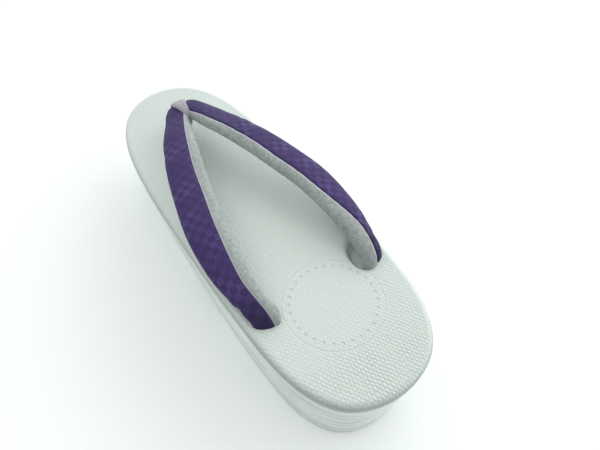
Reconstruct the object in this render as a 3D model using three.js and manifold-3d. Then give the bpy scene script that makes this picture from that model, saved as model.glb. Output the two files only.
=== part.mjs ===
// Zori sandal for either foot: a stacked wedge sole, a board with a rolled rim, two padded strap arms
// joined in front, and a toe strap looped over their joint.
// Millimetres, +X right, +Y to the toe, +Z up, floor at z = 0.
import * as THREE from 'three';
import Module from 'manifold-3d';

const wasm = await Module();
wasm.setup();

// Sole sizes
const soleLength = 240; // over the rolled rim
const soleWidth = 80.0; // over the rolled rim
const heelHeight = 54; // floor to the board's top at the heel
const forefootHeight = 39; // floor to the board's top at its lowest
const boardThickness = 5.5; // board with its padded cover
const rimRoll = 2.8; // radius of the rolled top edge
const rimTuck = 0.8; // rounding under the rim
const wallStep = 1.0; // how far the layers stand in under the rim
const wallTaper = 3.0; // how much the wall draws in on its way down
const endRake = 0.4; // extra draw at the heel's back and the toe
const layerSeam = 0.3; // glue line between stacked layers
const layerRound = 0.5; // rounding on the layers' edges
const archRise = 2.2; // hollow between heel and forefoot
const archFade = 4; // how fast the hollow dies out up the wall
const toeSpring = 6.5; // lift of the sole's bottom at the toe
const heelSpring = 1.2; // lift of the bottom's back edge
const ribGrooveDepth = 0.7; // grooves between the outsole's side ribs
const ribGrooveWidth = 0.9;
const treadDepth = 1.4; // grooves between the tread's lugs
const treadWidth = 2.4;
const treadPitch = 9;
const treadMargin = 8; // plain border round the tread

// Strap sizes
const strapWidth = 19.5; // padded arm at its widest
const strapThickness = 8;
const strapRise = 17.3; // board's top to the arm's centre at its highest
const faceThickness = 1.2; // figured cloth with its backing
const pocketDepth = 9.5; // how far strap ends go into the sole
const thongWidth = 11; // toe strap where it is widest
const thongThickness = 3.2;
const clearance = 0.3; // between pieces that meet
const jointOverlap = 0.2; // how far each arm's padding reaches over the centre plane

// Fineness of the faceted solids
const sideSteps = 36; // along one side of the sole
const armSteps = 2; // between two rows of a strap's table
const arcSteps = 7; // along one arc of a strap's section
const legSides = 12; // round the toe strap
const rollSteps = 3; // round the board's rolled edge

// Outline, as the fullness over an ellipse of the sole's length and width
const outlineRows = [
  { along: 0.00, fullness: 1.7952 },
  { along: 0.05, fullness: 1.5382 },
  { along: 0.10, fullness: 1.3729 },
  { along: 0.20, fullness: 1.171 },
  { along: 0.32, fullness: 1.0516 },
  { along: 0.50, fullness: 0.9965 },
  { along: 0.68, fullness: 1.0618 },
  { along: 0.80, fullness: 1.173 },
  { along: 0.90, fullness: 1.3291 },
  { along: 0.95, fullness: 1.4341 },
  { along: 1.00, fullness: 1.5606 },
];

// The board's top, as a share of what the heel stands higher than the forefoot
const boardRows = [
  { along: 0.0, rise: 0.985 },
  { along: 0.1, rise: 1.0 },
  { along: 0.2, rise: 0.94 },
  { along: 0.3, rise: 0.81 },
  { along: 0.4, rise: 0.645 },
  { along: 0.5, rise: 0.465 },
  { along: 0.6, rise: 0.285 },
  { along: 0.7, rise: 0.13 },
  { along: 0.8, rise: 0.027 },
  { along: 0.9, rise: 0.0 },
  { along: 1.0, rise: 0.067 },
];

// The bottom's bends, as shares of the sole's length
const bottomBends = { heelSpot: 0.07, archFrom: 0.34, archTo: 0.56, toeFrom: 0.8 };

// The wall's layers, as shares of the wall's height from the rim down
const layerRows = [
  { name: 'upper_layer', from: 0.0, to: 0.24, grooves: [] },
  { name: 'middle_layer', from: 0.24, to: 0.52, grooves: [] },
  { name: 'lower_layer', from: 0.52, to: 0.78, grooves: [] },
  { name: 'outsole', from: 0.78, to: 1.0, grooves: [0.86, 0.94] },
];

// Where the tread's lugs lie, as shares of the sole's length
const treadRows = [
  { from: 0.09, to: 0.34 },
  { from: 0.56, to: 0.79 },
];

// A strap arm from its sunk end to the joint. along is a share of soleLength from the heel,
// out of half soleWidth, rise of strapRise over the board, sink of pocketDepth under it,
// wide of strapWidth and thick of strapThickness. tilt is how far the outer edge hangs, and seam
// where the cloth ends on the inner side, round the section from its outer edge, both in degrees.
const armRows = [
  { along: 0.223, out: 0.7089, rise: 0.0, sink: 1.0, wide: 0.58, thick: 0.80, tilt: 24, seam: 118 },
  { along: 0.223, out: 0.7089, rise: 0.0, sink: 0.5, wide: 0.60, thick: 0.82, tilt: 24, seam: 118 },
  { along: 0.2245, out: 0.7109, rise: 0.0, sink: 0.13, wide: 0.61, thick: 0.84, tilt: 23, seam: 117 },
  { along: 0.2295, out: 0.7171, rise: 0.06, sink: 0.0, wide: 0.61, thick: 0.87, tilt: 21, seam: 115 },
  { along: 0.2395, out: 0.7273, rise: 0.165, sink: 0.0, wide: 0.61, thick: 0.92, tilt: 18, seam: 112 },
  { along: 0.265, out: 0.7517, rise: 0.27, sink: 0.0, wide: 0.65, thick: 0.98, tilt: 16, seam: 109 },
  { along: 0.30, out: 0.7752, rise: 0.37, sink: 0.0, wide: 0.75, thick: 1.0, tilt: 15, seam: 107 },
  { along: 0.36, out: 0.7783, rise: 0.54, sink: 0.0, wide: 0.90, thick: 1.0, tilt: 15, seam: 113 },
  { along: 0.44, out: 0.7395, rise: 0.74, sink: 0.0, wide: 0.98, thick: 0.99, tilt: 11, seam: 118 },
  { along: 0.52, out: 0.6426, rise: 0.86, sink: 0.0, wide: 1.0, thick: 0.96, tilt: 8, seam: 117 },
  { along: 0.60, out: 0.5304, rise: 0.95, sink: 0.0, wide: 0.99, thick: 0.94, tilt: 8, seam: 115 },
  { along: 0.68, out: 0.3896, rise: 0.99, sink: 0.0, wide: 0.94, thick: 0.94, tilt: 7, seam: 117 },
  { along: 0.74, out: 0.2713, rise: 0.90, sink: 0.0, wide: 0.83, thick: 0.95, tilt: 8, seam: 123 },
  { along: 0.785, out: 0.1836, rise: 0.80, sink: 0.0, wide: 0.71, thick: 0.95, tilt: 15, seam: 140 },
  { along: 0.82, out: 0.1142, rise: 0.76, sink: 0.0, wide: 0.66, thick: 0.88, tilt: 25, seam: 165 },
  { along: 0.836, out: 0.0918, rise: 0.74, sink: 0.0, wide: 0.50, thick: 0.70, tilt: 28, seam: 168 },
];
const outerSeam = -40; // where the cloth ends under the arm's outer edge, in degrees round the section
const sectionPower = 2.4; // 2 is an ellipse, more is squarer

// The toe strap's front leg, from its sunk end up and over the joint, and its rear leg back down to the hole
const frontLegRows = [
  { along: 0.848, rise: 0.0, sink: 1.0, wide: 0.68, thick: 1.0 },
  { along: 0.848, rise: 0.12, sink: 0.0, wide: 0.70, thick: 1.0 },
  { along: 0.848, rise: 0.45, sink: 0.0, wide: 0.78, thick: 1.0 },
  { along: 0.8465, rise: 0.72, sink: 0.0, wide: 0.88, thick: 1.0 },
  { along: 0.8385, rise: 0.94, sink: 0.0, wide: 0.90, thick: 1.0 },
  { along: 0.8225, rise: 1.05, sink: 0.0, wide: 0.80, thick: 1.0 },
  { along: 0.804, rise: 1.06, sink: 0.0, wide: 0.58, thick: 0.95 },
  { along: 0.789, rise: 0.97, sink: 0.0, wide: 0.40, thick: 0.85 },
];
const rearLegRows = [
  { along: 0.799, rise: 1.03, sink: 0.0, wide: 0.40, thick: 0.8 },
  { along: 0.7865, rise: 0.91, sink: 0.0, wide: 0.34, thick: 0.8 },
  { along: 0.7835, rise: 0.73, sink: 0.0, wide: 0.34, thick: 0.8 },
  { along: 0.7935, rise: 0.50, sink: 0.0, wide: 0.40, thick: 0.85 },
  { along: 0.814, rise: 0.34, sink: 0.0, wide: 0.52, thick: 0.95 },
  { along: 0.830, rise: 0.21, sink: 0.0, wide: 0.62, thick: 1.0 },
  { along: 0.8375, rise: 0.02, sink: 0.0, wide: 0.68, thick: 1.0 },
  { along: 0.8375, rise: 0.0, sink: 1.0, wide: 0.68, thick: 1.0 },
];

// Value of one column at a share of the length, by a smooth curve through the rows
function column(rows, name, along) {
  const last = rows.length - 1;
  const next = Math.max(1, rows.findIndex((row) => row.along >= along));
  const from = rows[next - 1];
  const to = rows[next];
  const before = rows[Math.max(0, next - 2)];
  const after = rows[Math.min(last, next + 1)];
  const span = to.along - from.along;
  const share = (along - from.along) / span;
  const slope = (a, b) => (a === b ? 0 : ((b[name] - a[name]) / (b.along - a.along)) * span);
  const startSlope = slope(before, to);
  const endSlope = slope(from, after);
  const change = to[name] - from[name];
  const square = share * share;
  const cube = square * share;
  return from[name] + startSlope * (cube - 2 * square + share) + endSlope * (cube - square)
    + change * (3 * square - 2 * cube);
}

const alongAt = (y) => THREE.MathUtils.clamp(y / soleLength + 0.5, 0, 1);
const lengthwise = (along) => (along - 0.5) * soleLength;

// Heights of the board's top, the wall's two ends and any share of the wall between them
function boardTop(y) {
  return forefootHeight + (heelHeight - forefootHeight) * column(boardRows, 'rise', alongAt(y));
}

function endSprings(y) {
  const along = alongAt(y);
  const back = Math.max(0, (bottomBends.heelSpot - along) / bottomBends.heelSpot);
  const toe = Math.max(0, (along - bottomBends.toeFrom) / (1 - bottomBends.toeFrom));
  return heelSpring * back ** 2 + toeSpring * toe ** 2;
}

function archAt(y) {
  const { archFrom, archTo } = bottomBends;
  const share = THREE.MathUtils.clamp((alongAt(y) - archFrom) / (archTo - archFrom), 0, 1);
  return archRise * Math.sin(Math.PI * share) ** 2;
}

function wallHeight(share, y) {
  const top = boardTop(y) - boardThickness;
  return top - share * (top - endSprings(y)) + archAt(y) * share ** archFade;
}

// The outline: half the width at a turn from heel (0) to toe (pi), and a point set in from it
function outlineAt(turn) {
  const along = (1 - Math.cos(turn)) / 2;
  const half = (soleWidth / 2) * Math.sin(turn) * column(outlineRows, 'fullness', along);
  return new THREE.Vector2(half, lengthwise(along));
}

function outlineNormal(turn) {
  if (turn === 0 || turn === Math.PI) return new THREE.Vector2(0, turn === 0 ? -1 : 1);
  const reach = 0.01;
  const ahead = outlineAt(Math.min(Math.PI, turn + reach));
  const behind = outlineAt(Math.max(0, turn - reach));
  const along = ahead.sub(behind).normalize();
  return new THREE.Vector2(along.y, -along.x);
}

// One closed ring round the sole: right side from heel to toe, then the left side back
function soleRing(insetAt, heightAt) {
  const right = [];
  for (let step = 0; step <= sideSteps; step += 1) {
    const turn = (Math.PI * step) / sideSteps;
    const normal = outlineNormal(turn);
    const point = outlineAt(turn).addScaledVector(normal, -insetAt(Math.abs(normal.y)));
    right.push(new THREE.Vector3(point.x, point.y, heightAt(point.y)));
  }
  const mirrored = (point) => new THREE.Vector3(-point.x, point.y, point.z);
  return [...right, ...right.slice(1, sideSteps).reverse().map(mirrored)];
}

// A closed solid from an indexed list of points and triangles
function solid(points, triangles) {
  const vertProperties = new Float32Array(points.flatMap((point) => point.toArray()));
  const triVerts = new Uint32Array(triangles.flat());
  return new wasm.Manifold(new wasm.Mesh({ numProp: 3, vertProperties, triVerts }));
}

// A slab between stacked sole rings, with its top and bottom laid as straight strips across the sole
function slab(rings) {
  const count = 2 * sideSteps;
  const triangles = [];
  for (let level = 0; level < rings.length - 1; level += 1) {
    for (let j = 0; j < count; j += 1) {
      const low = level * count + j;
      const lowNext = level * count + ((j + 1) % count);
      triangles.push([low, lowNext, lowNext + count], [low, lowNext + count, low + count]);
    }
  }
  const top = (rings.length - 1) * count;
  for (let step = 0; step < sideSteps; step += 1) {
    const left = (count - step) % count;
    const leftNext = count - step - 1;
    if (step < sideSteps - 1) {
      triangles.push([left, leftNext, step + 1], [top + left, top + step + 1, top + leftNext]);
    }
    if (step > 0) {
      triangles.push([left, step + 1, step], [top + left, top + step, top + step + 1]);
    }
  }
  return solid(rings.flat(), triangles);
}

// A straight-sided block, for grooves and trims
function block(low, high) {
  const points = [];
  for (const z of [low.z, high.z]) {
    points.push(new THREE.Vector3(low.x, low.y, z), new THREE.Vector3(high.x, low.y, z));
    points.push(new THREE.Vector3(high.x, high.y, z), new THREE.Vector3(low.x, high.y, z));
  }
  const triangles = [[0, 2, 1], [0, 3, 2], [4, 5, 6], [4, 6, 7]];
  for (let j = 0; j < 4; j += 1) {
    const next = (j + 1) % 4;
    triangles.push([j, next, next + 4], [j, next + 4, j + 4]);
  }
  return solid(points, triangles);
}

// One stacked layer, with rounded edges and any grooves between its side ribs
function layer(row) {
  const insetAt = (share, extra) => (endwise) => wallStep + share * (wallTaper + endRake * endwise) + extra;
  const rings = [];
  const ring = (share, lift, extra) => {
    rings.push(soleRing(insetAt(share, extra), (y) => wallHeight(share, y) + lift));
  };
  const seamBelow = row.to < 1 ? layerSeam / 2 : 0;
  const seamAbove = row.from > 0 ? layerSeam / 2 : layerSeam;
  ring(row.to, seamBelow, layerRound);
  ring(row.to, seamBelow + layerRound, 0);
  for (const groove of [...row.grooves].reverse()) {
    ring(groove, -ribGrooveWidth / 2, 0);
    ring(groove, 0, ribGrooveDepth);
    ring(groove, ribGrooveWidth / 2, 0);
  }
  ring(row.from, -seamAbove - layerRound, 0);
  ring(row.from, -seamAbove, layerRound);
  return slab(rings);
}

// Grooves across the bottom that leave the tread's lugs, inside a plain border
function treadGrooves() {
  const grooves = [];
  for (const row of treadRows) {
    const count = Math.floor(((row.to - row.from) * soleLength) / treadPitch);
    const start = lengthwise((row.from + row.to) / 2) - (count * treadPitch) / 2;
    for (let j = 0; j <= count; j += 1) {
      const y = start + j * treadPitch;
      const turn = Math.acos(-y / (soleLength / 2));
      const reach = outlineAt(turn).x - wallStep - wallTaper - treadMargin;
      const low = new THREE.Vector3(-reach, y - treadWidth / 2, -treadDepth);
      grooves.push(block(low, new THREE.Vector3(reach, y + treadWidth / 2, treadDepth)));
    }
  }
  return grooves;
}

// The board: tucked in below, upright, then rolled over to its flat top
function board() {
  const rings = [
    soleRing(() => rimTuck, (y) => boardTop(y) - boardThickness),
    soleRing(() => 0, (y) => boardTop(y) - boardThickness + rimTuck),
  ];
  for (let step = 0; step <= rollSteps; step += 1) {
    const turn = (Math.PI / 2) * (step / rollSteps);
    const inset = rimRoll * (1 - Math.cos(turn));
    const drop = rimRoll * (1 - Math.sin(turn));
    rings.push(soleRing(() => inset, (y) => boardTop(y) - drop));
  }
  return slab(rings);
}

// Path and section sizes of a strap, from its table
function strapStations(rows, outAt) {
  const places = rows.map((row) => {
    const y = lengthwise(row.along);
    const z = boardTop(y) + row.rise * strapRise - row.sink * pocketDepth;
    return new THREE.Vector3(outAt(row), y, z);
  });
  const path = new THREE.CatmullRomCurve3(places, false, 'centripetal');
  const sizes = new THREE.CatmullRomCurve3(
    rows.map((row) => new THREE.Vector3(row.wide, row.thick, row.tilt ?? 0)), false, 'catmullrom', 0.5);
  const seams = new THREE.CatmullRomCurve3(
    rows.map((row) => new THREE.Vector3(row.seam ?? 0, 0, 0)), false, 'catmullrom', 0.5);
  const count = (rows.length - 1) * armSteps;
  const stations = [];
  for (let step = 0; step <= count; step += 1) {
    const share = step / count;
    const along = path.getTangent(share);
    const across = new THREE.Vector3(1, 0, 0).addScaledVector(along, -along.x).normalize();
    const up = new THREE.Vector3().crossVectors(across, along);
    const size = sizes.getPoint(share);
    const tilt = THREE.MathUtils.degToRad(size.z);
    const wideAxis = across.clone().multiplyScalar(Math.cos(tilt)).addScaledVector(up, -Math.sin(tilt));
    const thickAxis = across.clone().multiplyScalar(Math.sin(tilt)).addScaledVector(up, Math.cos(tilt));
    const centre = path.getPoint(share);
    const seam = seams.getPoint(share).x;
    stations.push({ centre, along, wideAxis, thickAxis, wide: size.x, thick: size.y, seam });
  }
  return stations;
}

// The same stations with both ends moved out by a clearance
function longerStations(stations) {
  const moved = (station, distance) => (
    { ...station, centre: station.centre.clone().addScaledVector(station.along, distance) });
  return [moved(stations[0], -clearance), ...stations, moved(stations.at(-1), clearance)];
}

// A point of the padded section, round from its outer edge, set in by a depth
function sectionPoint(wide, thick, degrees, depth) {
  const at = (turn) => {
    const power = 2 / sectionPower;
    const cos = Math.cos(turn);
    const sin = Math.sin(turn);
    const x = (wide / 2) * Math.sign(cos) * Math.abs(cos) ** power;
    return new THREE.Vector2(x, (thick / 2) * Math.sign(sin) * Math.abs(sin) ** power);
  };
  const turn = THREE.MathUtils.degToRad(degrees);
  const reach = 0.05;
  const tangent = at(turn + reach).sub(at(turn - reach));
  const point = at(turn);
  const speed = tangent.length() / (2 * reach);
  tangent.normalize();
  point.addScaledVector(new THREE.Vector2(tangent.y, -tangent.x), -depth);
  return { point, degreesPerLength: THREE.MathUtils.radToDeg(1 / speed) };
}

// Points along an arc of the section, from one angle to another
function sectionArc(wide, thick, from, to, depth, steps) {
  const points = [];
  for (let step = 0; step <= steps; step += 1) {
    points.push(sectionPoint(wide, thick, from + ((to - from) * step) / steps, depth).point);
  }
  return points;
}

// A closed solid through flat sections placed at a strap's stations, on its own side or mirrored
function loft(stations, sectionAt, side) {
  const points = [];
  const triangles = [];
  const sections = stations.map(sectionAt);
  const count = sections[0].length;
  const push = (a, b, c) => triangles.push(side > 0 ? [a, b, c] : [a, c, b]);
  stations.forEach((station, level) => {
    for (const flat of sections[level]) {
      const point = station.centre.clone().addScaledVector(station.wideAxis, flat.x);
      point.addScaledVector(station.thickAxis, flat.y);
      point.x *= side;
      points.push(point);
    }
  });
  for (let level = 0; level < stations.length - 1; level += 1) {
    for (let j = 0; j < count; j += 1) {
      const near = level * count + j;
      const nearNext = level * count + ((j + 1) % count);
      push(near, near + count, nearNext + count);
      push(near, nearNext + count, nearNext);
    }
  }
  const far = (stations.length - 1) * count;
  const capOf = (section) => THREE.ShapeUtils.triangulateShape(section, []);
  for (const [a, b, c] of capOf(sections[0])) push(a, b, c);
  for (const [a, b, c] of capOf(sections.at(-1))) push(far + a, far + c, far + b);
  return solid(points, triangles);
}

// The parts of a strap arm
const armOut = (row) => (row.out * soleWidth) / 2;
const armStations = strapStations(armRows, armOut);

// The whole padded section, grown by a clearance all round, that holes are cut with
function armRoom(side) {
  return loft(longerStations(armStations), (station) => {
    const wide = station.wide * strapWidth + 2 * clearance;
    const thick = station.thick * strapThickness + 2 * clearance;
    return sectionArc(wide, thick, 0, 360, 0, 2 * arcSteps).slice(1);
  }, side);
}

// Padding with its lining: full underneath, rebated on top to take the cloth
function armPadding(side) {
  return loft(armStations, (station) => {
    const wide = station.wide * strapWidth;
    const thick = station.thick * strapThickness;
    const lining = sectionArc(wide, thick, station.seam, 360 + outerSeam, 0, arcSteps);
    const rebate = faceThickness + clearance;
    const bed = sectionArc(wide, thick, 360 + outerSeam, 360 + station.seam, rebate, arcSteps);
    return [...lining, ...bed];
  }, side);
}

// The cloth face that lies in the rebate
function armFace(side) {
  return loft(armStations, (station) => {
    const wide = station.wide * strapWidth;
    const thick = station.thick * strapThickness;
    const from = outerSeam + clearance * sectionPoint(wide, thick, outerSeam, 0).degreesPerLength;
    const to = station.seam - clearance * sectionPoint(wide, thick, station.seam, 0).degreesPerLength;
    const outside = sectionArc(wide, thick, from, to, 0, arcSteps);
    const inside = sectionArc(wide, thick, to, from, faceThickness, arcSteps);
    return [...outside, ...inside];
  }, side);
}

// One leg of the toe strap, a flat oval band on the centre plane, and the room that it takes
function legBand(stations, grow) {
  return loft(stations, (station) => {
    const wide = station.wide * thongWidth + 2 * grow;
    const thick = station.thick * thongThickness + 2 * grow;
    return sectionArc(wide, thick, 0, 360, 0, legSides).slice(1);
  }, 1);
}

const frontLegStations = strapStations(frontLegRows, () => 0);
const rearLegStations = strapStations(rearLegRows, () => 0);
const frontLegRoom = legBand(longerStations(frontLegStations), clearance);
const rearLegRoom = legBand(longerStations(rearLegStations), clearance);
const armRooms = [-1, 1].map(armRoom);

// What lies on one side of the centre plane and nearer to it than a margin
function centreTrim(side, margin) {
  const [from, to] = [side * margin, -side * soleWidth].sort((a, b) => a - b);
  const low = new THREE.Vector3(from, -soleLength, 0);
  return block(low, new THREE.Vector3(to, soleLength, 2 * heelHeight));
}

// The two arms' padding, joined on the centre plane, with room for the toe strap's rear leg
function strapLining() {
  const [left, right] = [-1, 1].map((side) => armPadding(side).subtract(centreTrim(side, -jointOverlap)));
  return left.add(right).subtract(rearLegRoom);
}

function strapFace(side) {
  return armFace(side).subtract(centreTrim(side, jointOverlap + clearance)).subtract(rearLegRoom);
}

function frontThong() {
  const frontLeg = armRooms.reduce((leg, room) => leg.subtract(room), legBand(frontLegStations, 0));
  return frontLeg.add(legBand(rearLegStations, 0));
}

// A piece of the sole with the pockets of the strap ends cut into it
function sunkInto(piece) {
  return [...armRooms, frontLegRoom, rearLegRoom].reduce((rest, room) => rest.subtract(room), piece);
}

// Finishes
const finishes = {
  rubber: new THREE.MeshStandardMaterial({ color: 0xd9dfdc, roughness: 0.7, metalness: 0 }),
  wall: new THREE.MeshStandardMaterial({ color: 0xdfe4e2, roughness: 0.45, metalness: 0.1 }),
  board: new THREE.MeshStandardMaterial({ color: 0xc8d0cb, roughness: 0.4, metalness: 0.15 }),
  lining: new THREE.MeshStandardMaterial({ color: 0xa9b0b0, roughness: 0.95, metalness: 0 }),
  cloth: new THREE.MeshStandardMaterial({ color: 0x4e3f73, roughness: 0.6, metalness: 0 }),
};

const sandal = new THREE.Group();

// Adds one piece: its solid as a mesh with its finish
function addPiece(name, piece, finish) {
  const { vertProperties, triVerts } = piece.getMesh();
  const geometry = new THREE.BufferGeometry();
  geometry.setAttribute('position', new THREE.BufferAttribute(vertProperties, 3));
  geometry.setIndex(new THREE.BufferAttribute(triVerts, 1));
  const mesh = new THREE.Mesh(geometry, finishes[finish]);
  mesh.name = name;
  sandal.add(mesh);
}

for (const row of layerRows) {
  const isOutsole = row.name === 'outsole';
  const whole = sunkInto(layer(row));
  const piece = isOutsole ? treadGrooves().reduce((rest, groove) => rest.subtract(groove), whole) : whole;
  addPiece(row.name, piece, isOutsole ? 'rubber' : 'wall');
}
addPiece('footbed', sunkInto(board()), 'board');
addPiece('strap_lining', strapLining(), 'lining');
addPiece('strap_face_left', strapFace(-1), 'cloth');
addPiece('strap_face_right', strapFace(1), 'cloth');
addPiece('front_thong', frontThong(), 'lining');

export default sandal;
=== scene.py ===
# %% [markdown]
# A zori is a flat-topped sandal held on by a V of padded straps. This lesson dresses its plain solids:
# an embossed board with a rolled rim, a stacked pearly sole, two velvet-backed straps faced in figured
# cloth, and a velvet toe strap. The solids come packed as a frame, in metres, with +X to the right, +Y
# from heel to toe and +Z up. They are loaded first, so that each new piece can be measured from them.

# %% Load the solids
import math

import bmesh
import bpy
import numpy as np
from mathutils import Euler, Matrix, Vector


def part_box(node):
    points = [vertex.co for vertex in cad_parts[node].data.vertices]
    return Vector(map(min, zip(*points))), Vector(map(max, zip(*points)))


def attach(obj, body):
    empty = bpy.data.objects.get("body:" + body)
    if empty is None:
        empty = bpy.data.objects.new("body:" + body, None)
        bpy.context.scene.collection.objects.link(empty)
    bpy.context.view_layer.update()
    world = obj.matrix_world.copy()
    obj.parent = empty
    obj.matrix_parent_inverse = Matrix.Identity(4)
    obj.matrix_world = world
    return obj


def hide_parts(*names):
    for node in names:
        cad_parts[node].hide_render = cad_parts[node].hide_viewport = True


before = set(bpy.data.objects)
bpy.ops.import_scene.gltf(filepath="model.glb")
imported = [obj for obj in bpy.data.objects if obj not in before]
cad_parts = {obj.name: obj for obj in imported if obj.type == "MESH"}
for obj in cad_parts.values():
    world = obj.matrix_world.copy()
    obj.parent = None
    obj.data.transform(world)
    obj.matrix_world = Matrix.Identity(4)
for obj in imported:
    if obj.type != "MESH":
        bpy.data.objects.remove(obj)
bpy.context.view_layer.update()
mm = 0.001
print("solids:", ", ".join(sorted(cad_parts)))

# %% [markdown]
# The camera stands where the photographer stood: behind the heel and to its left, looking steeply down
# towards the toe. It could be pushed about until the view seems right, but then no two renders would
# lie over each other. So its place, the mark it looks at, its lens and its roll are written down once.

# %% Camera
EYE = Vector((-66.82, -143.54, 235.18)) * mm
LOOK_AT = Vector((14.83, -26.44, 45.0)) * mm
CAMERA_ROLL = math.radians(1.304)
LENS = 28.21
NEAREST_SEEN = 10 * mm

camera = bpy.data.objects.new("camera", bpy.data.cameras.new("camera"))
bpy.context.scene.collection.objects.link(camera)
camera.data.lens = LENS
camera.data.clip_start = NEAREST_SEEN
level_turn = (LOOK_AT - EYE).to_track_quat("-Z", "Y").to_matrix().to_4x4()
camera.matrix_world = Matrix.Translation(EYE) @ level_turn @ Matrix.Rotation(CAMERA_ROLL, 4, "Z")
bpy.context.scene.camera = camera
print(f"camera: {(LOOK_AT - EYE).length / mm:.0f} mm from the mark it looks at")

# %% [markdown]
# The sole is a wedge: high at the heel, low at the ball of the foot, its underside a little hollow under
# the arch and lifted at the toe. Its length, width and height are read from the solids, so the dressed
# sandal keeps to them. What a box can't tell is written here in millimetres, or as shares of those
# sizes: FULLNESS is how full the outline is from heel to toe, TOP_FALL how the board's top falls.

# %% Sole sizes
board_low, board_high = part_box("footbed")
LENGTH = board_high.y - board_low.y
WIDTH = board_high.x - board_low.x
HEEL_TOP = board_high.z
FOREFOOT_TOP = 39 * mm
BOARD_THICKNESS = 5.5 * mm
RIM_ROLL = 2.8 * mm
RIM_TUCK = 0.8 * mm
WALL_STEP = 1.0 * mm
WALL_TAPER = 3.0 * mm
END_RAKE = 0.4 * mm
ARCH_RISE = 2.2 * mm
ARCH_FADE = 4
TOE_SPRING = 6.5 * mm
HEEL_SPRING = 1.2 * mm
BENDS = {"heel_spot": 0.07, "arch_from": 0.34, "arch_to": 0.56, "toe_from": 0.8}
FULLNESS = [(0.0, 1.7952), (0.05, 1.5382), (0.1, 1.3729), (0.2, 1.171), (0.32, 1.0516), (0.5, 0.9965),
            (0.68, 1.0618), (0.8, 1.173), (0.9, 1.3291), (0.95, 1.4341), (1.0, 1.5606)]
TOP_FALL = [(0.0, 0.985), (0.1, 1.0), (0.2, 0.94), (0.3, 0.81), (0.4, 0.645), (0.5, 0.465),
            (0.6, 0.285), (0.7, 0.13), (0.8, 0.027), (0.9, 0.0), (1.0, 0.067)]
AROUND = 320  # points round the sole

print(f"sole {LENGTH / mm:.1f} by {WIDTH / mm:.1f} mm, heel {HEEL_TOP / mm:.1f} mm high")

# %% [markdown]
# A table has few rows, and the sole's surface needs a value at every place between them. Straight lines
# from row to row would leave a crease at each, which shows in the gloss. A smooth curve through the
# rows keeps the table short and the surface fair.

# %% Heights along the sole


def column(rows, along):
    """The value at a share of the length, on a smooth curve through (share, value) rows."""
    last = len(rows) - 1
    step = next((j for j in range(1, last) if rows[j][0] >= along), last)
    (x0, a), (x1, b) = rows[step - 1], rows[step]
    (xb, before), (xa, after) = rows[max(0, step - 2)], rows[min(last, step + 1)]
    span = x1 - x0
    t = (along - x0) / span
    start = (b - before) / (x1 - xb) * span
    end = (after - a) / (xa - x0) * span
    return a + start * (t ** 3 - 2 * t * t + t) + end * (t ** 3 - t * t) + (b - a) * (3 * t * t - 2 * t ** 3)


def along_at(y):
    return min(1.0, max(0.0, y / LENGTH + 0.5))


def board_top(y):
    return FOREFOOT_TOP + (HEEL_TOP - FOREFOOT_TOP) * column(TOP_FALL, along_at(y))


def wall_height(share, y):
    """Height on the wall, from 0 under the rim to 1 at the bottom, with the arch and both end springs."""
    along = along_at(y)
    back = max(0, (BENDS["heel_spot"] - along) / BENDS["heel_spot"])
    toe = max(0, (along - BENDS["toe_from"]) / (1 - BENDS["toe_from"]))
    bottom = HEEL_SPRING * back ** 2 + TOE_SPRING * toe ** 2
    arch = (along - BENDS["arch_from"]) / (BENDS["arch_to"] - BENDS["arch_from"])
    hollow = ARCH_RISE * math.sin(math.pi * min(1, max(0, arch))) ** 2
    top = board_top(y) - BOARD_THICKNESS
    return top - share * (top - bottom) + hollow * share ** ARCH_FADE


print(f"board's top: {board_top(0) / mm:.1f} mm up at the sole's middle")

# %% [markdown]
# Seen from above, the board is nearly an ellipse with fuller ends. An ellipse times the fullness table
# gives its right side, and a mirror the left, because the sandal fits either foot. The outline's
# normals are kept with it: a rim or wall that steps in must do so squarely all the way round.

# %% Outline


def outline_at(turn):
    """A point on the right side, from 0 at the heel to pi at the toe."""
    along = (1 - math.cos(turn)) / 2
    return np.array((WIDTH / 2 * math.sin(turn) * column(FULLNESS, along), (along - 0.5) * LENGTH))


def outline_normal(turn):
    reach = 0.01
    ahead = outline_at(min(math.pi, turn + reach))
    behind = outline_at(max(0, turn - reach))
    run = (ahead - behind) / np.linalg.norm(ahead - behind)
    return np.array((run[1], -run[0]))


def half_outline():
    """Points and outward normals on the right side, from heel to toe."""
    turns = [math.pi * j / (AROUND // 2) for j in range(AROUND // 2 + 1)]
    places = np.array([outline_at(turn) for turn in turns])
    normals = np.array([outline_normal(turn) for turn in turns])
    normals[0], normals[-1] = (0, -1), (0, 1)
    return places, normals


def whole_round(right):
    """The right side's points, followed by their mirror images back to the heel."""
    return np.concatenate([right, (right[1:-1] * (-1, 1))[::-1]])


half_places, half_normals = half_outline()
OUTLINE = whole_round(half_places)
NORMALS = whole_round(half_normals)
print(f"outline: {len(OUTLINE)} points round the sole")

# %% [markdown]
# The board and every layer of the sole are stacks of rings, one above or inside the other. A ring is the
# outline set in by some depth. Where a flat face has to close, the last ring is drawn in to the sole's
# middle line, at once or in steps. That keeps the faces even instead of crowding them at one point.

# %% Rings
ROUND_END = 0.42  # share of the width, from each end, that the middle line stops short
MIDDLE_REACH = LENGTH / 2 - ROUND_END * WIDTH


def flat_ring(inset, height):
    """A ring set in from the outline, at a height that depends on y. inset may be a number or a function."""
    depth = np.array([inset(abs(n[1])) if callable(inset) else inset for n in NORMALS])
    flat = OUTLINE - NORMALS * depth[:, None]
    return np.array([(x, y, height(y)) for x, y in flat])


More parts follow.
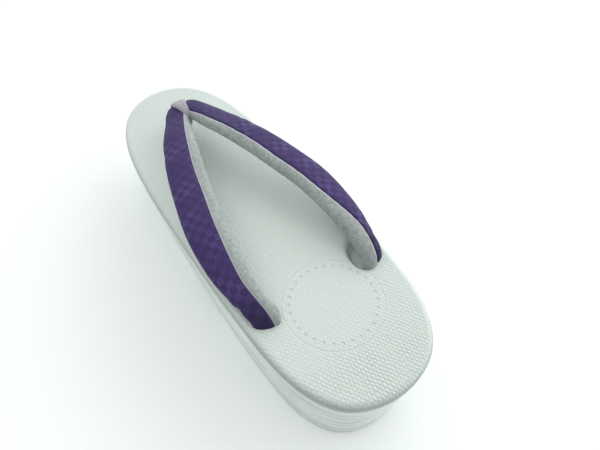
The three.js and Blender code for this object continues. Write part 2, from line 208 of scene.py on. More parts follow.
def drawn_in(ring, share, height):
    """A ring drawn towards the sole's middle line, at 1 lying on that line."""
    middle = np.clip(ring[:, 1], -MIDDLE_REACH, MIDDLE_REACH)
    x = ring[:, 0] * (1 - share)
    y = ring[:, 1] * (1 - share) + middle * share
    return np.array([(px, py, height(px, py)) for px, py in zip(x, y)])


print(f"middle line: {2 * MIDDLE_REACH / mm:.0f} mm long")

# %% [markdown]
# Every shell here is a flat grid of faces rolled up: its columns run round the piece and its rows are
# the rings from one end to the other. Faces could be listed one by one, but the grid operator gives
# clean quads and a UV map in one go, and welding the doubled points closes the roll and its ends.

# %% Rolling a grid into a shell
WELD = 0.002 * mm


def shell(rings, uv_maps=None):
    """A closed bmesh through rings of points, with a UV map for each table of values in uv_maps."""
    rings = np.array(rings)
    levels, count = rings.shape[:2]
    bm = bmesh.new()
    bmesh.ops.create_grid(bm, x_segments=count, y_segments=levels - 1, size=0.5)
    spots = {v: (round((v.co.x + 0.5) * count), round((v.co.y + 0.5) * (levels - 1))) for v in bm.verts}
    for map_name, values in (uv_maps or {}).items():
        layer = bm.loops.layers.uv.new(map_name)
        for face in bm.faces:
            for loop in face.loops:
                j, level = spots[loop.vert]
                loop[layer].uv = values[level][j]
    for v, (j, level) in spots.items():
        v.co = rings[level][j % count]
    bmesh.ops.remove_doubles(bm, verts=bm.verts, dist=WELD)
    bmesh.ops.recalc_face_normals(bm, faces=bm.faces)
    return bm


def finished(bm, name):
    """A smooth-shaded object from a bmesh, riding on the sandal."""
    for face in bm.faces:
        face.smooth = True
    mesh = bpy.data.meshes.new(name)
    bm.to_mesh(mesh)
    bm.free()
    piece = bpy.data.objects.new(name, mesh)
    bpy.context.scene.collection.objects.link(piece)
    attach(piece, "root")
    print(f"{name}: {len(mesh.vertices)} points, {len(mesh.polygons)} faces")
    return piece


# %% [markdown]
# The sole is sponge, stacked in layers and wrapped in a thin pearly cover. One block with lines drawn
# on it would look flat, because each layer bulges a little between its seams, and that catches the
# light in bands along the wall. So each layer is its own shell with rounded edges. The lowest is the
# rubber outsole, whose side has two grooves.

# %% Sole layers
LAYERS = [  # piece, solid it stands for, its top and its bottom as shares of the wall, grooves
    ("layer_top", "upper_layer", 0.0, 0.24, []),
    ("layer_middle", "middle_layer", 0.24, 0.52, []),
    ("layer_bottom", "lower_layer", 0.52, 0.78, []),
    ("outsole_block", "outsole", 0.78, 1.0, [0.86, 0.94]),
]
LAYER_SEAM = 0.3 * mm
EDGE_ROUND = 0.7 * mm
LAYER_BULGE = 0.3 * mm
GROOVE_DEPTH = 0.7 * mm
GROOVE_WIDTH = 0.9 * mm
GROOVE_SHAPE = [  # place across the groove and depth, as shares of its width and its depth
    (-0.6, 0), (-0.5, 0.12), (-0.25, 0.8), (0, 1), (0.25, 0.8), (0.5, 0.12), (0.6, 0),
]
EDGE_STEPS = 4
SIDE_STEPS = 5


def wall_ring(share, lift, extra):
    """A ring at a share of the wall's height, lifted, and set in by an extra depth."""
    def inset(endwise):
        return WALL_STEP + share * (WALL_TAPER + END_RAKE * endwise) + extra
    return flat_ring(inset, lambda y: wall_height(share, y) + lift)


def edge_turn(step):
    """How far a rounded edge has come from its flat face at a step, along the wall and inwards."""
    turn = math.pi / 2 * step / EDGE_STEPS
    return EDGE_ROUND * (1 - math.cos(turn)), EDGE_ROUND * (1 - math.sin(turn))


def side_rings(top_share, low_share, grooves):
    """The rings between the two rounded edges: grooved on the outsole, bulging on the layers."""
    if grooves:
        return [wall_ring(share, place * GROOVE_WIDTH, depth * GROOVE_DEPTH)
                for share in reversed(grooves) for place, depth in GROOVE_SHAPE]
    parts = [step / SIDE_STEPS for step in range(1, SIDE_STEPS)]
    return [wall_ring(low_share + (top_share - low_share) * part, 0, -LAYER_BULGE * math.sin(math.pi * part))
            for part in parts]


def layer_rings(top_share, low_share, grooves):
    """Rings from the middle of the bottom, out and up the wall, and back in over the top."""
    below = LAYER_SEAM / 2 if low_share < 1 else 0
    above = LAYER_SEAM / 2 if top_share > 0 else LAYER_SEAM
    edges = [edge_turn(step) for step in range(EDGE_STEPS + 1)]
    lower_edge = [wall_ring(low_share, below + rise, inset) for rise, inset in edges]
    upper_edge = [wall_ring(top_share, -above - rise, inset) for rise, inset in reversed(edges)]
    low = drawn_in(lower_edge[0], 1, lambda x, y: wall_height(low_share, y) + below)
    high = drawn_in(upper_edge[-1], 1, lambda x, y: wall_height(top_share, y) - above)
    return [low, *lower_edge, *side_rings(top_share, low_share, grooves), *upper_edge, high]


sole_pieces = {}
for name, node, top_share, low_share, grooves in LAYERS:
    piece = finished(shell(layer_rings(top_share, low_share, grooves)), name)
    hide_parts(node)
    sole_pieces[name] = piece

# %% [markdown]
# Round each strap end the board's cover is drawn down into the slot, so its top is pressed into a
# smooth oval dimple there, and into a round one where the toe strap goes through. A bump in the
# material would shade them, but a strap has to sink into them too, so they are real hollows. The two by
# the slots are wider towards the foot than towards the rim, and each is as deep as its strap pulls it.

# %% Dimples
DIMPLES = [  # centre, half length, half width inward and outward in mm, turn in degrees, depth in mm
    {"x": 26.2, "y": -60.2, "long": 10.2, "inward": 6.8, "outward": 4.4, "turn": 15, "deep": 4.0},
    {"x": -26.8, "y": -61.8, "long": 8.0, "inward": 5.4, "outward": 2.8, "turn": -15, "deep": 1.1},
    {"x": 0, "y": 82.6, "long": 5.6, "inward": 6.4, "outward": 6.4, "turn": 0, "deep": 2.0},
]
DIMPLE_FLOOR = 0.62  # share of the dimple's radius that lies at its full depth


def smooth(low, high, value):
    t = min(1.0, max(0.0, (value - low) / (high - low)))
    return t * t * (3 - 2 * t)


def dimple_depth(x, y):
    depth = 0.0
    for row in DIMPLES:
        turn = math.radians(row["turn"])
        dx, dy = x / mm - row["x"], y / mm - row["y"]
        across = dx * math.cos(turn) - dy * math.sin(turn)
        along = dx * math.sin(turn) + dy * math.cos(turn)
        width = row["outward"] if across * row["x"] > 0 else row["inward"]
        reach = math.hypot(across / width, along / row["long"])
        depth += row["deep"] * mm * (1 - smooth(DIMPLE_FLOOR, 1.0, reach))
    return depth


print(f"dimple floors: {', '.join(str(row['deep']) for row in DIMPLES)} mm deep")

# %% [markdown]
# The board is a thin firm pad wrapped in vinyl, rolled over at the rim. A bevel on a flat plate would
# round its edge too, but rings let the roll follow the falling top, and their spacing is fine enough for
# the dimples. Each ring also stores how far it lies below the top, so that the finish can find the rim.

# %% Board with its rolled rim
TOP_STEPS = 84
ROLL_STEPS = 10


def board_surface(x, y):
    return board_top(y) - dimple_depth(x, y)


def board_rings():
    """Rings from the middle of the underside, out round the rim and in over the top, and their depths."""
    rings, drops = [], []

    def add_ring(inset, drop):
        rings.append(flat_ring(inset, lambda y: board_top(y) - drop))
        drops.append(drop)

    add_ring(RIM_TUCK, BOARD_THICKNESS)
    for step in range(1, EDGE_STEPS + 1):
        turn = math.pi / 2 * step / EDGE_STEPS
        add_ring(RIM_TUCK * (1 - math.sin(turn)), BOARD_THICKNESS - RIM_TUCK * (1 - math.cos(turn)))
    for step in range(ROLL_STEPS + 1):
        turn = math.pi / 2 * step / ROLL_STEPS
        add_ring(RIM_ROLL * (1 - math.cos(turn)), RIM_ROLL * (1 - math.sin(turn)))
    underside = drawn_in(rings[0], 1, lambda x, y: board_top(y) - BOARD_THICKNESS)
    top = [drawn_in(rings[-1], step / TOP_STEPS, board_surface) for step in range(1, TOP_STEPS + 1)]
    return [underside, *rings, *top], [BOARD_THICKNESS, *drops, *[0.0] * TOP_STEPS]


rim_rings, rim_drops = board_rings()
rim_map = [[(drop, 0.0)] * (AROUND + 1) for drop in rim_drops]
board = finished(shell(rim_rings, {"rim": rim_map}), "board_cover")
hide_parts("footbed")

# %% [markdown]
# Each strap arm is a padded tube that rises from its slot, arches over the foot and narrows to the
# joint. A curve with a bevel would give one section all along, but the real arm changes its width,
# thickness and twist as it goes. So one table gives all of them in rows, and both the padding and the
# cloth over it are made from that table, which keeps them lying on each other.

# %% Strap table
STRAP_WIDTH = 19.5 * mm
STRAP_THICKNESS = 8 * mm
STRAP_RISE = 17.3 * mm
POCKET_DEPTH = 9.5 * mm
ARM_ROWS = [  # along, out, rise, sink, wide and thick as shares, tilt and seam in degrees
    (0.223, 0.7089, 0.0, 1.0, 0.58, 0.80, 24, 118),
    (0.223, 0.7089, 0.0, 0.5, 0.60, 0.82, 24, 118),
    (0.2245, 0.7109, 0.0, 0.13, 0.61, 0.84, 23, 117),
    (0.2295, 0.7171, 0.06, 0.0, 0.61, 0.87, 21, 115),
    (0.2395, 0.7273, 0.165, 0.0, 0.61, 0.92, 18, 112),
    (0.265, 0.7517, 0.27, 0.0, 0.65, 0.98, 16, 109),
    (0.30, 0.7752, 0.37, 0.0, 0.75, 1.0, 15, 107),
    (0.36, 0.7783, 0.54, 0.0, 0.90, 1.0, 15, 113),
    (0.44, 0.7395, 0.74, 0.0, 0.98, 0.99, 11, 118),
    (0.52, 0.6426, 0.86, 0.0, 1.0, 0.96, 8, 117),
    (0.60, 0.5304, 0.95, 0.0, 0.99, 0.94, 8, 115),
    (0.68, 0.3896, 0.99, 0.0, 0.94, 0.94, 7, 117),
    (0.74, 0.2713, 0.90, 0.0, 0.83, 0.95, 8, 123),
    (0.785, 0.1836, 0.80, 0.0, 0.71, 0.95, 15, 140),
    (0.82, 0.1142, 0.76, 0.0, 0.66, 0.88, 25, 165),
    (0.836, 0.0918, 0.74, 0.0, 0.50, 0.70, 28, 168),
]
print(f"strap table: {len(ARM_ROWS)} rows")

# %% [markdown]
# Between the table's rows a curve is laid through the centres and another through the sizes. A
# Catmull-Rom curve passes through every row, which a Bezier's handles would have to be tuned to do.
# At each station along it stand two axes, one across the strap and one through its thickness.

# %% Stations along a strap
STEPS_PER_ROW = 7


def spline(points, share, power):
    """A point on a Catmull-Rom curve. power 0.5 keeps it tight round close points, 0 is the plain one."""
    last = len(points) - 1
    place = share * last
    first = min(int(place), last - 1)
    t = place - first
    ends = [2 * points[0] - points[1], *points, 2 * points[-1] - points[-2]]
    a, b, c, d = ends[first:first + 4]
    ab, bc, cd = (max(np.linalg.norm(q - p), 1e-9) ** power for p, q in ((a, b), (b, c), (c, d)))
    start = ((b - a) / ab - (c - a) / (ab + bc) + (c - b) / bc) * bc
    end = ((c - b) / bc - (d - b) / (bc + cd) + (d - c) / cd) * bc
    return b + start * (t ** 3 - 2 * t * t + t) + end * (t ** 3 - t * t) + (c - b) * (3 * t * t - 2 * t ** 3)


def strap_axes(places, share):
    """Two axes square to the strap's run: level across it, and up."""
    reach = 1e-4
    run = spline(places, min(1, share + reach), 0.5) - spline(places, max(0, share - reach), 0.5)
    run /= np.linalg.norm(run)
    across = np.array((1, 0, 0)) - run * run[0]
    across /= np.linalg.norm(across)
    return across, np.cross(across, run)


def stations(rows):
    """Places along a strap, each with its two section axes, sizes and length so far."""
    places, sizes = [], []
    for along, out, rise, sink, wide, thick, tilt, seam in rows:
        y = (along - 0.5) * LENGTH
        z = board_top(y) + rise * STRAP_RISE - sink * POCKET_DEPTH
        places.append(np.array((out * WIDTH / 2, y, z)))
        sizes.append(np.array((wide, thick, math.radians(tilt), seam)))
    found = []
    count = (len(rows) - 1) * STEPS_PER_ROW
    length = 0.0
    for step in range(count + 1):
        share = step / count
        centre = spline(places, share, 0.5)
        across, up = strap_axes(places, share)
        wide, thick, tilt, seam = spline(sizes, share, 0)
        length += np.linalg.norm(centre - found[-1]["centre"]) if found else 0
        found.append({
            "centre": centre, "length": length, "wide": wide, "thick": thick, "seam": seam,
            "wide_axis": across * math.cos(tilt) - up * math.sin(tilt),
            "thick_axis": across * math.sin(tilt) + up * math.cos(tilt),
        })
    return found


arm = stations(ARM_ROWS)
ARM_LENGTH = arm[-1]["length"]
print(f"each arm is {ARM_LENGTH / mm:.0f} mm long, in {len(arm)} stations")

# %% [markdown]
# Cut across, a stuffed strap is neither an ellipse nor a rectangle but something between: its faces are
# flat in the middle and its edges full. A superellipse is just that curve, with one power that says how
# square it is, and angles round it name the places where the cloth and the lining meet.

# %% Rounded section
SECTION_POWER = 2.4
OUTER_SEAM = -16  # degrees round the section, counted up from its outer edge


def section(wide, thick, degrees, offset):
    """A point of the rounded section, moved out along its normal. degrees run from its outer edge."""
    turn = math.radians(degrees)
    power = 2 / SECTION_POWER
    reach = 0.05

    def at(angle):
        c, s = math.cos(angle), math.sin(angle)
        return np.array((wide / 2 * math.copysign(abs(c) ** power, c),
                         thick / 2 * math.copysign(abs(s) ** power, s)))
    run = at(turn + reach) - at(turn - reach)
    run /= np.linalg.norm(run)
    return at(turn) + np.array((run[1], -run[0])) * offset


def placed(station, flat):
    return station["centre"] + station["wide_axis"] * flat[0] + station["thick_axis"] * flat[1]


def arc_lengths(wide, thick, angles):
    """Distance along the section's rim up to each angle."""
    rim = np.array([section(wide, thick, angle, 0) for angle in angles])
    steps = np.linalg.norm(np.diff(rim, axis=0), axis=1)
    return np.concatenate([[0], np.cumsum(steps)])


widest = arc_lengths(STRAP_WIDTH, STRAP_THICKNESS, np.linspace(0, 360, 73))[-1]
print(f"strap: {widest / mm:.0f} mm round at its widest")

# %% [markdown]
# A strap bent over a foot creases: sharply beside the slots, softly at the joint and along its top. Cloth
# simulation finds creases by itself, but a firm narrow tube gives it little to fold. So they are listed
# as troughs with a soft bell shape, one row each, and they slant a little across the arm.

# %% Creases
CREASES = [  # side, mm along the arm, degrees round it, reach along in mm and round in degrees, depth in mm
    (-1, 21.0, 0, 2.2, 40, 0.75),
    (-1, 29.0, 20, 2.6, 50, 0.40),
    (-1, 15.0, 60, 2.0, 45, 0.45),
    (1, 20.0, 10, 2.4, 45, 0.55),
    (1, 27.0, 40, 2.8, 60, 0.35),
    (1, 113.0, 40, 3.4, 60, 0.50),
    (1, 121.0, 15, 2.4, 50, 0.45),
    (-1, 117.0, 30, 3.0, 60, 0.45),
    (-1, 124.0, 70, 2.2, 50, 0.40),
    (-1, 66.0, 95, 5.0, 45, 0.25),
    (1, 58.0, 100, 5.0, 45, 0.25),
    (-1, 46.0, 100, 4.0, 40, 0.30),
    (1, 84.0, 105, 4.5, 40, 0.30),
]
CREASE_SLANT = 0.02  # mm along the arm for each degree round it


def creased(station, degrees, side):
    """How far a soft trough pulls the strap's surface in at this place."""
    pull = 0.0
    for crease_side, place, round_at, reach, spread, depth in CREASES:
        if crease_side == side:
            away = (station["length"] / mm - place - CREASE_SLANT * (degrees - round_at)) / reach
            turned = ((degrees - round_at + 180) % 360 - 180) / spread
            pull += depth * mm * math.exp(-away * away - turned * turned)
    return pull


print(f"creases: {len(CREASES)}")

# %% [markdown]
# The two arms are cut alike, but they don't lie alike. The joint leans a little to the right, the right
# arm's outer edge stands up there, and near its slot that arm's inner seam has rolled over the top. Such
# small differences make a sandal look handled, so each is its own named value, faded in smoothly.

# %% How the arms lie
RIGHT_SEAM_TURN = 24  # degrees that the right arm's seam has rolled over the top at the slot
RIGHT_SEAM_REACH = (14 * mm, 55 * mm)
JOINT_REACH = (50 * mm, 74 * mm)
JOINT_LEAN = 0.6 * mm
RIGHT_LIFT = Vector((0.6, 1.2, 1.4)) * mm
RIGHT_LIFT_REACH = (2.5 * mm, 9 * mm)


def seam_at(station, side):
    """Where the cloth ends on the inner side, in degrees round the section."""
    rolled = RIGHT_SEAM_TURN * (1 - smooth(*RIGHT_SEAM_REACH, station["length"])) if side > 0 else 0
    return station["seam"] - rolled


def settled(point):
    """The joint as it has been pulled: a little to the right, the right arm's outer edge standing up."""
    x, y, z = point
    near = smooth(*JOINT_REACH, y)
    lift = near * smooth(*RIGHT_LIFT_REACH, x)
    return np.array((x + JOINT_LEAN * near, y, z)) + np.array(RIGHT_LIFT) * lift


print(f"inner seam at the slot: {seam_at(arm[0], -1):.0f} degrees left, {seam_at(arm[0], 1):.0f} right")

# %% [markdown]
# Where two cloths are sewn edge to edge, both turn down into the seam, so a fine groove runs between
# them, and the thread pulls the cloth into tiny puckers. Drawn lines would stay flat in raking light.
# Both effects are small offsets of the shell instead, worked out from the distance to the seam.

# %% Seams and puckers
SEAM_ROUND = 1.3 * mm
SEAM_DEPTH = 0.45 * mm
PUCKER_PITCH = 4.2 * mm
PUCKER_DEPTH = 0.10 * mm
PUCKER_FADE = 2.2 * mm
SLOW_SHARE = 0.6  # of a slower wave, so that the puckers come and go
SLOW_RATE = 0.83 / mm


def seam_drop(distance):
    """How far the cloth has turned down at a distance from its seam."""
    near = 1 - min(1.0, max(0.0, distance / SEAM_ROUND))
    return SEAM_DEPTH * (1 - math.sqrt(max(0.0, 1 - near * near)))


def pucker(length, distance, phase):
    quick = math.sin(2 * math.pi * length / PUCKER_PITCH + phase)
    slow = SLOW_SHARE * math.sin(length * SLOW_RATE + 2 * phase)
    return -PUCKER_DEPTH * (1 + quick + slow) / 2 * math.exp(-max(0.0, distance) / PUCKER_FADE)


print(f"seam: {SEAM_DEPTH / mm:.2f} mm deep, puckers every {PUCKER_PITCH / mm:.1f} mm")

# %% [markdown]
# A shell made of rings is open at both ends, so each end gets a point for the weld to close on. Where the
# two arms cross at the front they would pass through each other. A boolean could join them, but it can
# leave ragged faces on curved shells, so each arm is cut by a plane in the middle instead.

# %% Ends and cuts
CUT_SNAP = 1e-6


def closed_ends(rings, uv):
    """The rings with a point at each end, so that welding closes the shell."""
    first = np.repeat(np.mean(rings[0], axis=0)[None], len(rings[0]), axis=0)
    last = np.repeat(np.mean(rings[-1], axis=0)[None], len(rings[-1]), axis=0)
    return [first, *rings, last], [uv[0], *uv, uv[-1]]


def cut_at(bm, x, side):
    """Cuts a strap off where it crosses a plane near the middle, and returns the cut's edges."""
    geometry = bm.verts[:] + bm.edges[:] + bm.faces[:]
    cut = bmesh.ops.bisect_plane(bm, geom=geometry, dist=CUT_SNAP, clear_outer=True,
                                 plane_co=(x, 0, 0), plane_no=(-side, 0, 0))
    return [e for e in cut["geom_cut"] if isinstance(e, bmesh.types.BMEdge)]


print(f"arms meet {JOINT_LEAN / mm:.1f} mm right of the middle")

# %% [markdown]
# The padding is what the foot feels: sponge in grey velvet, with the velvet showing underneath and on the
# inner side. It could stop where the cloth begins, but a real strap is stuffed all through. So its ring
# goes right round: along the lining at full size, and sunk by the cloth's thickness under the cloth.

# %% Velvet-covered padding
CLOTH_THICKNESS = 1.1 * mm
ROUND_STEPS = 56
LINING_STEPS = ROUND_STEPS * 2 // 3
LINING_PHASE = 0.7
JOINT_WELD = 0.01 * mm


def padding_ring(station, side):
    """A ring of points, from one seam through the lining side, and back under the cloth."""
    wide, thick = station["wide"] * STRAP_WIDTH, station["thick"] * STRAP_THICKNESS
    seam = seam_at(station, side)
    angles = list(np.linspace(seam, 360 + OUTER_SEAM, LINING_STEPS + 1))
    bed = list(np.linspace(360 + OUTER_SEAM, 360 + seam, ROUND_STEPS - LINING_STEPS + 1))[1:-1]
    rim = arc_lengths(wide, thick, angles)
    points, uv = [], []
    for angle, run in zip(angles, rim):
        edge = min(run, rim[-1] - run)
        puckered = pucker(station["length"], edge, LINING_PHASE)
        offset = puckered - seam_drop(edge) - creased(station, angle, side)
        points.append(placed(station, section(wide, thick, angle, offset)))
        uv.append((edge, station["length"]))
    for angle in bed:
        sunk = CLOTH_THICKNESS + creased(station, angle, side)
        points.append(placed(station, section(wide, thick, angle, -sunk)))
        uv.append((0.0, station["length"]))
    return [settled(point * (side, 1, 1)) for point in points], uv + uv[:1]


def padding_half(side):
    rings, uv = zip(*(padding_ring(station, side) for station in arm))
    rings, uv = closed_ends(list(rings), list(uv))
    bm = shell(rings, {"edge": uv})
    rim = cut_at(bm, JOINT_LEAN, side)
    bmesh.ops.holes_fill(bm, edges=rim)
    half = bpy.data.meshes.new("padding half")
    bm.to_mesh(half)
    bm.free()
    return half


bm = bmesh.new()
for side in (-1, 1):
    bm.from_mesh(padding_half(side))
bmesh.ops.remove_doubles(bm, verts=bm.verts, dist=JOINT_WELD)
bmesh.ops.recalc_face_normals(bm, faces=bm.faces)
padding = finished(bm, "strap_padding")
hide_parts("strap_lining")

# %% [markdown]
# The cloth is a strip turned in at both edges and held stretched over the padding. A single sheet with a
# Solidify modifier would also do, but two rings of points, outer and inner, round its edges as they are
# sewn. Its UV map is in real metres, along the arm and across it from the strip's middle, so the woven
# squares keep their size as the strap narrows. The flat size of the cut is measured from the same rings.

# %% Figured cloth
CLOTH_STEPS = 30
CLOTH_PHASE = 2.1
CENTRE_GAP = 0.4 * mm


def cloth_ring(station, side):
    """A ring round the strip, its weave and edge coordinates, and the strip's width there."""
    wide, thick = station["wide"] * STRAP_WIDTH, station["thick"] * STRAP_THICKNESS
    angles = np.linspace(OUTER_SEAM, seam_at(station, side), CLOTH_STEPS + 1)
    rim = arc_lengths(wide, thick, angles)
    outer, inner, uv = [], [], []
    for angle, run in zip(angles, rim):
        edge = min(run, rim[-1] - run)
        offset = pucker(station["length"], edge, CLOTH_PHASE + side) - seam_drop(edge)
        pull = creased(station, angle, side)
        outer.append(placed(station, section(wide, thick, angle, offset - pull)))
        inner.append(placed(station, section(wide, thick, angle, -CLOTH_THICKNESS - pull)))
        uv.append(((run - rim[-1] / 2, station["length"]), (edge, station["length"])))
    points = [settled(point * (side, 1, 1)) for point in outer + inner[-2:0:-1]]
    pairs = uv + uv[-2:0:-1] + uv[:1]
    return points, [pair[0] for pair in pairs], [pair[1] for pair in pairs], rim[-1]


def cloth_face(name, node, side):
    rings, weave, edge, widths = zip(*(cloth_ring(station, side) for station in arm))
    closed, weave = closed_ends(list(rings), list(weave))
    bm = shell(closed, {"weave": weave, "edge": [edge[0], *edge, edge[-1]]})
    bmesh.ops.holes_fill(bm, edges=cut_at(bm, JOINT_LEAN + side * CENTRE_GAP, side))
    bmesh.ops.recalc_face_normals(bm, faces=bm.faces)
    piece = finished(bm, name)
    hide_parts(node)
    lengths = np.array([station["length"] for station in arm])
    middles = (np.array(widths[1:]) + np.array(widths[:-1])) / 2
    area = float(middles @ np.diff(lengths))
    max(widths)
    print(f"{name}: cut {max(widths) / mm:.1f} by {lengths[-1] / mm:.1f} mm, {area * 1e4:.1f} square cm")
    return piece


cloth_left = cloth_face("strap_cloth_left", "strap_face_left", -1)
cloth_right = cloth_face("strap_cloth_right", "strap_face_right", 1)

# %% [markdown]
# The toe strap is one flat velvet band: it comes up through the board, folds over the joint of the two
# arms and goes back down between them. A straight band could be bent by a modifier, but this one also
# narrows as it is pulled tight. So it is the same kind of loft as the arms, from a table of its own.

# %% Toe strap
THONG_WIDTH = 11 * mm
THONG_THICKNESS = 3.2 * mm
THONG_ROWS = [  # along, side, rise, sink, wide and thick as shares
    (0.848, 0.0, 0.0, 1.0, 0.68, 1.0),
    (0.848, 0.0, 0.12, 0.0, 0.70, 1.0),
    (0.848, 0.0, 0.45, 0.0, 0.76, 1.0),
    (0.8465, -0.006, 0.72, 0.0, 0.82, 1.0),
    (0.8385, -0.012, 0.94, 0.0, 0.81, 1.0),
    (0.8225, -0.017, 1.05, 0.0, 0.70, 1.0),
    (0.804, -0.014, 1.06, 0.0, 0.50, 0.95),
    (0.7895, -0.006, 0.95, 0.0, 0.37, 0.85),
    (0.7835, 0.0, 0.73, 0.0, 0.32, 0.8),
    (0.7935, 0.0, 0.50, 0.0, 0.38, 0.85),
    (0.814, 0.0, 0.34, 0.0, 0.50, 0.95),
    (0.830, 0.0, 0.21, 0.0, 0.62, 1.0),
    (0.8375, 0.0, 0.02, 0.0, 0.68, 1.0),
    (0.8375, 0.0, 0.0, 1.0, 0.68, 1.0),
]
THONG_ROUND = 36


def thong_ring(station):
    wide, thick = station["wide"] * THONG_WIDTH, station["thick"] * THONG_THICKNESS
    angles = np.linspace(0, 360, THONG_ROUND + 1)
    points = [placed(station, section(wide, thick, angle, 0)) + (JOINT_LEAN, 0, 0) for angle in angles[:-1]]
    uv = [(wide * math.cos(math.radians(angle)) / 2, station["length"]) for angle in angles]
    return points, uv


thong = stations([(*row, 0, 0) for row in THONG_ROWS])
thong_rings, thong_uv = zip(*(thong_ring(station) for station in thong))
thong_rings, thong_uv = closed_ends(list(thong_rings), list(thong_uv))
toe_strap = finished(shell(thong_rings, {"edge": thong_uv}), "toe_strap")
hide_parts("front_thong")

# %% [markdown]
# Finishes are built from nodes. They could be clicked together in the editor, but written out they can
# be read and changed. A few helpers keep each one short: a helper adds one node, links what feeds it
# and hands back what comes out.

# %% Node helpers
NUDGE_SCALE = 150.0


def plug_of(node, key):
    """A node's input, by its place as in i0, or by its name with _ for a space."""
    if key[0] == "i" and key[1:].isdigit():
        return node.inputs[int(key[1:])]
    return node.inputs[key.replace("_", " ")]


def feed(tree, plug, value):
    """Links a socket to an input, or sets a number, a vector or a red, green and blue on it."""
    if isinstance(value, bpy.types.NodeSocket):
        tree.links.new(value, plug)
    elif plug.type == "RGBA":
        plug.default_value = (*value, 1)
    else:
        plug.default_value = value


def put(tree, kind, settings=None, **inputs):
    """Adds a node, with its settings and what feeds its inputs."""
    node = tree.nodes.new("ShaderNode" + kind)
    for key, value in (settings or {}).items():
        setattr(node, key, value)
    for key, value in inputs.items():
        feed(tree, plug_of(node, key), value)
    return node


def maths(tree, operation, first, second=0.0):
    return put(tree, "Math", {"operation": operation}, i0=first, i1=second).outputs[0]


def plus(tree, first, second):
    return maths(tree, "ADD", first, second)


def times(tree, first, second):
    return maths(tree, "MULTIPLY", first, second)


def ramp(tree, value, low, high, start=0.0, end=1.0):
    """A smooth step from start to end while the value goes from low to high."""
    return put(tree, "MapRange", {"interpolation_type": "SMOOTHSTEP"}, Value=value, From_Min=low,
               From_Max=high, To_Min=start, To_Max=end).outputs[0]


def blend(tree, factor, first, second):
    """The first colour at 0, the second at 1."""
    return put(tree, "Mix", {"data_type": "RGBA"}, Factor=factor, i6=first, i7=second).outputs[2]


def noise(tree, vector, scale, detail, roughness=0.5):
    return put(tree, "TexNoise", Vector=vector, Scale=scale, Detail=detail, Roughness=roughness).outputs


def axes_of(tree, vector):
    return put(tree, "SeparateXYZ", Vector=vector).outputs


def uv_of(tree, map_name):
    return put(tree, "UVMap", {"uv_map": map_name}).outputs[0]


def bump(tree, height, depth, **inputs):
    return put(tree, "Bump", Distance=depth, Height=height, **{"Strength": 1.0, **inputs}).outputs[0]


def nudged(tree, vector, reach, **kind):
    """The same places moved a little by noise, so that a pattern isn't ruled."""
    drift = noise(tree, vector, NUDGE_SCALE, **kind)["Color"]
    shift = put(tree, "VectorMath", {"operation": "SCALE"}, i0=drift, Scale=reach).outputs[0]
    return put(tree, "VectorMath", {"operation": "ADD"}, i0=vector, i1=shift).outputs[0]


# %% [markdown]
# Some effects belong to more than one finish. Copying their nodes into each would do, but one change
# would then have to be made in every copy. A node group is made once, with its own named inputs and
# outputs, and each finish places it with its own values.

# %% Groups and finishes
VECTOR, FLOAT, COLOUR = "NodeSocketVector", "NodeSocketFloat", "NodeSocketColor"


def group(name, inputs, outputs):
    """A new node group with named sockets. Returns its tree, what comes in and where the results go."""
    tree = bpy.data.node_groups.new(name, "ShaderNodeTree")
    for label, kind in inputs.items():
        tree.interface.new_socket(label, in_out="INPUT", socket_type=kind)
    for label, kind in outputs.items():
        tree.interface.new_socket(label, in_out="OUTPUT", socket_type=kind)
    return tree, tree.nodes.new("NodeGroupInput").outputs, tree.nodes.new("NodeGroupOutput").inputs


def place_group(tree, made_group, **inputs):
    return put(tree, "Group", {"node_tree": made_group}, **inputs).outputs


def finish(name, roughness, **constants):
    """A new material. Returns it with its tree and its Principled shader."""
    made = bpy.data.materials.new(name)
    made.use_nodes = True
    shader = made.node_tree.nodes["Principled BSDF"]
    shader.inputs["Roughness"].default_value = roughness
    for key, value in constants.items():
        plug_of(shader, key).default_value = value
    return made, made.node_tree, shader


def wear(piece, made):
    piece.data.materials.clear()
    piece.data.materials.append(made)
    print(f"{piece.name} wears {made.name}, {len(made.node_tree.nodes)} nodes")


# %% [markdown]
# Vinyl and rubber have a grain too fine to model or even to see one by one, but without it their
# highlights look like glass. It is noise used as a bump, and it takes in whatever larger relief lies
# under it, so that both show.

# %% Shared fine grain


def fine_grain():
    tree, given, result = group(
        "fine grain",
        {"Vector": VECTOR, "Scale": FLOAT, "Depth": FLOAT, "Normal": VECTOR},
        {"Normal": VECTOR})
    grains = noise(tree, given["Vector"], given["Scale"], 4.0, 0.6)["Fac"]
    feed(tree, result["Normal"], bump(tree, grains, given["Depth"], Normal=given["Normal"]))
    return tree


GRAIN = fine_grain()
GRAIN_DEPTH = 0.02 * mm
print(f"{GRAIN.name}: {len(GRAIN.nodes)} nodes")

# %% [markdown]
# Velvet is a lawn of short fibres. Hair strands would be truest and far too many, so two noises stand
# for them: one as fine as the fibres, one as wide as a fingertip's brushing, and both tint and bump the
# surface. Beside a seam a pale line is a painted highlight, with the lilac of light off the purple cloth,
# and near a slot a painted shadow greys the velvet. The edge map gives both distances: X from the seam,
# Y along the strap.

# %% Shared velvet nap
FIBRES = {"scale": 1500.0, "detail": 3.0, "roughness": 0.7}
BRUSHING = {"scale": 420.0, "detail": 3.0, "roughness": 0.55}
FIBRE_SHARE = 0.6
NAP_SPREAD = (0.36, 0.64)
# the pale line beside the seam is a painted highlight, with the purple cloth's light painted into it
EDGE_HIGHLIGHT_FROM = 0.2 * mm
EDGE_HIGHLIGHT_STRENGTH = 0.65
# near a slot the velvet is greyed by a painted shadow, where it goes down into the slot
SLOT_SHADOW_REACH = (14 * mm, 45 * mm)
SLOT_SHADOW_GREY = (0.20, 0.215, 0.21)


